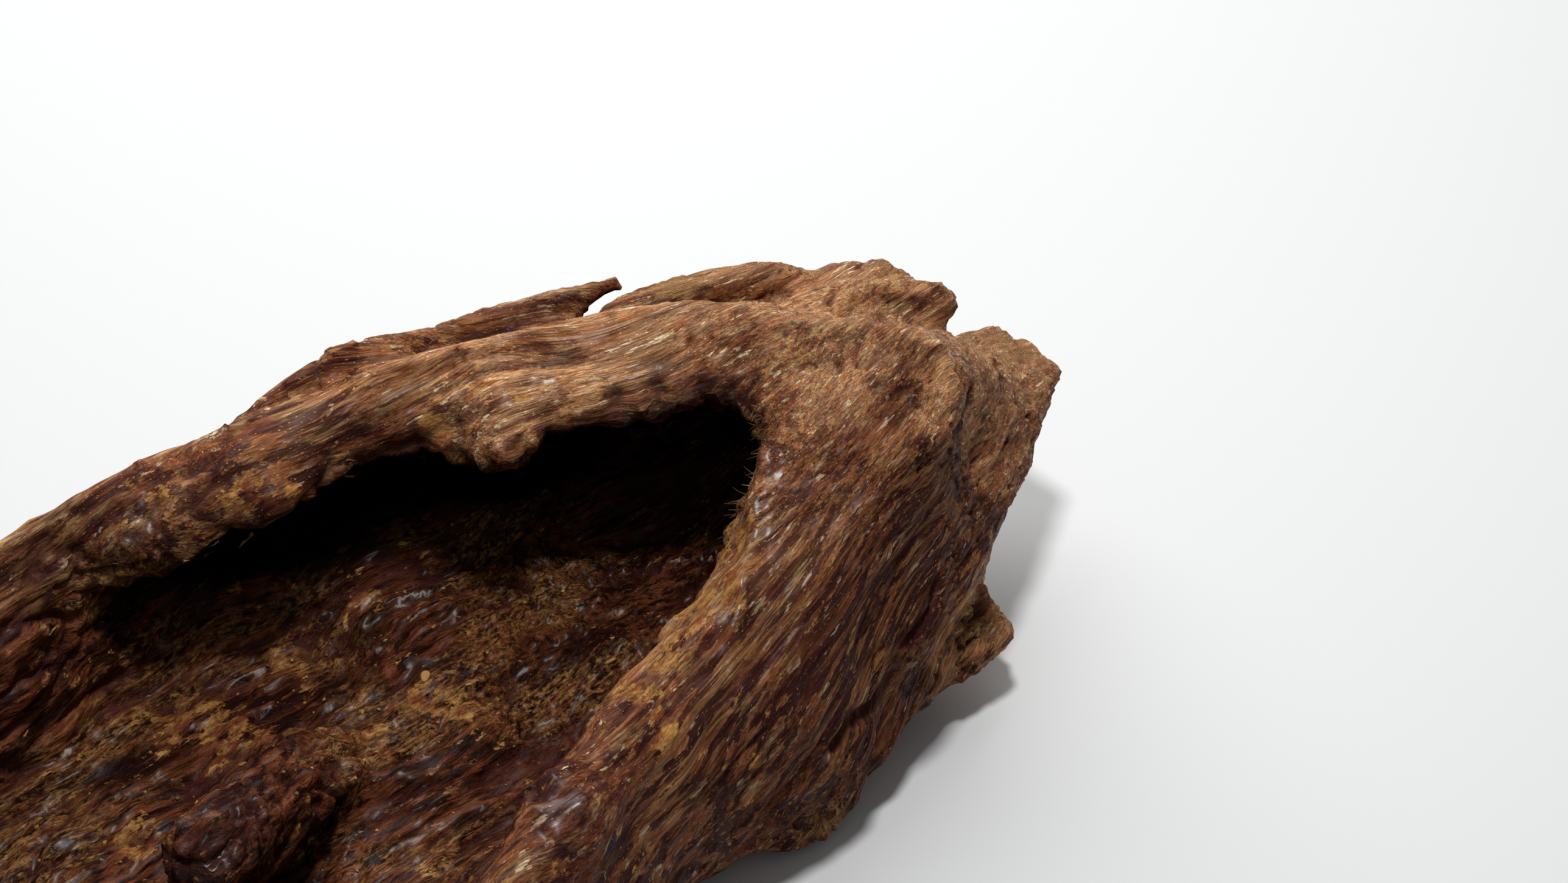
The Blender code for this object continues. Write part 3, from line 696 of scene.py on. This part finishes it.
def flake(bm, place, normal, along, half, thickness, dice):
    """A flat flake with a ragged outline, half sunk in the wood."""
    across = normal.cross(along).normalized()
    along = across.cross(normal)
    outline = []
    for k in range(FLAKE_SIDES):
        angle = 2 * math.pi * k / FLAKE_SIDES
        reach = dice.uniform(*FLAKE_RAGGED)
        outline.append(along * half[0] * reach * math.cos(angle)
                       + across * half[1] * reach * math.sin(angle))
    low = [bm.verts.new(place + point - normal * thickness) for point in outline]
    high = [bm.verts.new(place + point * FLAKE_TOP + normal * thickness * dice.uniform(*FLAKE_UNEVEN))
            for point in outline]
    for i, corner in enumerate(low):
        j = (i + 1) % FLAKE_SIDES
        bm.faces.new((corner, low[j], high[j], high[i]))
    bm.faces.new(low[::-1])
    bm.faces.new(high)


def floor_places(tree, count, dice):
    """Places on the hollow's floor, each with the way its surface faces."""
    found = []
    while len(found) < count:
        (low_x, high_x), (low_y, high_y) = FLOOR_SPREAD
        start = Vector((dice.uniform(low_x, high_x), dice.uniform(low_y, high_y), FLOOR_START)) * MM
        place, normal, _, _ = tree.ray_cast(start, Vector((0, 0, -1)))
        if place is not None and normal.z > FLOOR_LEVEL:
            found.append((place, normal))
    return found


def piece(name, bm, material):
    """A piece of loose wood that rides with the rest."""
    mesh = bpy.data.meshes.new(name)
    bm.to_mesh(mesh)
    bm.free()
    obj = bpy.data.objects.new(name, mesh)
    bpy.context.scene.collection.objects.link(obj)
    mesh.materials.append(material)
    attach(obj, "root")


def fibres(wood, dice):
    """Torn fibres along the throat's edge."""
    bm = bmesh.new()
    edge = [vert for vert in wood.data.vertices
            if min((vert.co / MM - Vector(place)).length for place in FRINGE) < FRINGE_REACH]
    for vert in dice.choices(edge, k=FIBRES):
        heading = vert.normal + Vector([dice.uniform(*stray) for stray in FIBRE_STRAYS])
        strand(bm, vert.co.copy(), heading.normalized(), dice.uniform(*FIBRE_LENGTH) * MM,
               FIBRE_THICKNESS * MM, dice)
    piece("agarwood_fibres", bm, loose_wood("torn_fibre", *TORN_FIBRE))


def splinters(wood, dice):
    """Splinters that lift along the grain where the wood is broken."""
    torn = wood.data.attributes["torn"].data
    rough = [vert for vert in wood.data.vertices if torn[vert.index].value > SPLINTER_FROM]
    bm = bmesh.new()
    for vert in dice.choices(rough, k=SPLINTERS):
        run = grain_run(vert.co / MM)
        heading = (run - vert.normal * run.dot(vert.normal)) * dice.choice((-1, 1))
        heading += vert.normal * dice.uniform(*SPLINTER_LIFT)
        strand(bm, vert.co - vert.normal * JUST_UNDER * MM, heading.normalized(),
               dice.uniform(*SPLINTER_LENGTH) * MM, dice.uniform(*SPLINTER_THICKNESS) * MM, dice)
    piece("agarwood_splinters", bm, loose_wood("splinter", *SPLINTER))


def litter(tree, dice):
    """Flakes and crumbs on the hollow's floor."""
    bm = bmesh.new()
    for place, normal in floor_places(tree, FLAKES, dice):
        along = Vector((1, dice.uniform(-0.6, 0.6), 0))
        length = dice.uniform(*FLAKE_LENGTH) * MM
        half = (length, length * dice.uniform(*FLAKE_WIDTH))
        flake(bm, place, normal, along, half, FLAKE_THICKNESS * MM, dice)
    for place, normal in floor_places(tree, CRUMBS, dice):
        size = dice.uniform(*CRUMB_SIZE) * MM
        along = Vector((dice.uniform(-1, 1), dice.uniform(-1, 1), 0.1))
        half = (size, size * CRUMB_WIDTH)
        flake(bm, place, normal, along, half, size * CRUMB_THICKNESS, dice)
    piece("agarwood_litter", bm, loose_wood("wood_litter", *LITTER))


# The surroundings

def floor():
    bpy.ops.mesh.primitive_plane_add(size=FLOOR_SIZE)
    plane = bpy.context.object
    plane.name = "pale_floor"
    material = bpy.data.materials.new("pale_floor")
    material.use_nodes = True
    shader = material.node_tree.nodes["Principled BSDF"]
    shader.inputs["Base Color"].default_value = (*FLOOR_COLOUR, 1)
    shader.inputs["Roughness"].default_value = FLOOR_ROUGHNESS
    plane.data.materials.append(material)


def lamp(name, place, aim, size, watts):
    light = bpy.data.lights.new(name, "AREA")
    light.shape = "DISK"
    light.size = size * MM
    light.energy = watts
    obj = bpy.data.objects.new(name, light)
    obj.location = Vector(place) * MM
    obj.rotation_euler = (Vector(place) - Vector(aim)).to_track_quat("Z", "Y").to_euler()
    bpy.context.scene.collection.objects.link(obj)


def lights():
    world = bpy.data.worlds.new("soft_room")
    bpy.context.scene.world = world
    world.use_nodes = True
    background = world.node_tree.nodes["Background"]
    background.inputs["Color"].default_value = (*ROOM_COLOUR, 1)
    background.inputs["Strength"].default_value = ROOM_STRENGTH
    for settings in LAMPS:
        lamp(*settings)


def camera():
    azimuth, elevation = math.radians(VIEW_AZIMUTH), math.radians(VIEW_ELEVATION)
    back = Vector((math.sin(azimuth) * math.cos(elevation), -math.cos(azimuth) * math.cos(elevation),
                   math.sin(elevation)))
    lens = bpy.data.cameras.new("photograph_view")
    lens.sensor_width = SENSOR_WIDTH
    lens.lens = SENSOR_WIDTH * VIEW_DISTANCE / FIELD_WIDTH
    lens.clip_start = CLIP_START * MM
    eye = bpy.data.objects.new("photograph_view", lens)
    eye.location = (VIEW_TARGET + back * VIEW_DISTANCE) * MM
    eye.rotation_euler = back.to_track_quat("Z", "Y").to_euler()
    bpy.context.scene.collection.objects.link(eye)
    bpy.context.scene.camera = eye
    return eye


def main():
    bpy.context.scene.view_settings.view_transform = "Standard"
    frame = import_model()
    noise.seed_set(NOISE_SEED)
    eye = camera()
    lights()
    floor()
    wood = wood_surface(frame["nodes"][NODE], eye.location)
    wood.data.materials.clear()
    wood.data.materials.append(agarwood())
    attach(wood, "root")
    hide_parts(NODE)
    dice = random.Random(LOOSE_SEED)
    fibres(wood, dice)
    splinters(wood, dice)
    litter(BVHTree.FromPolygons([v.co for v in wood.data.vertices],
                                [f.vertices for f in wood.data.polygons]), dice)


main()
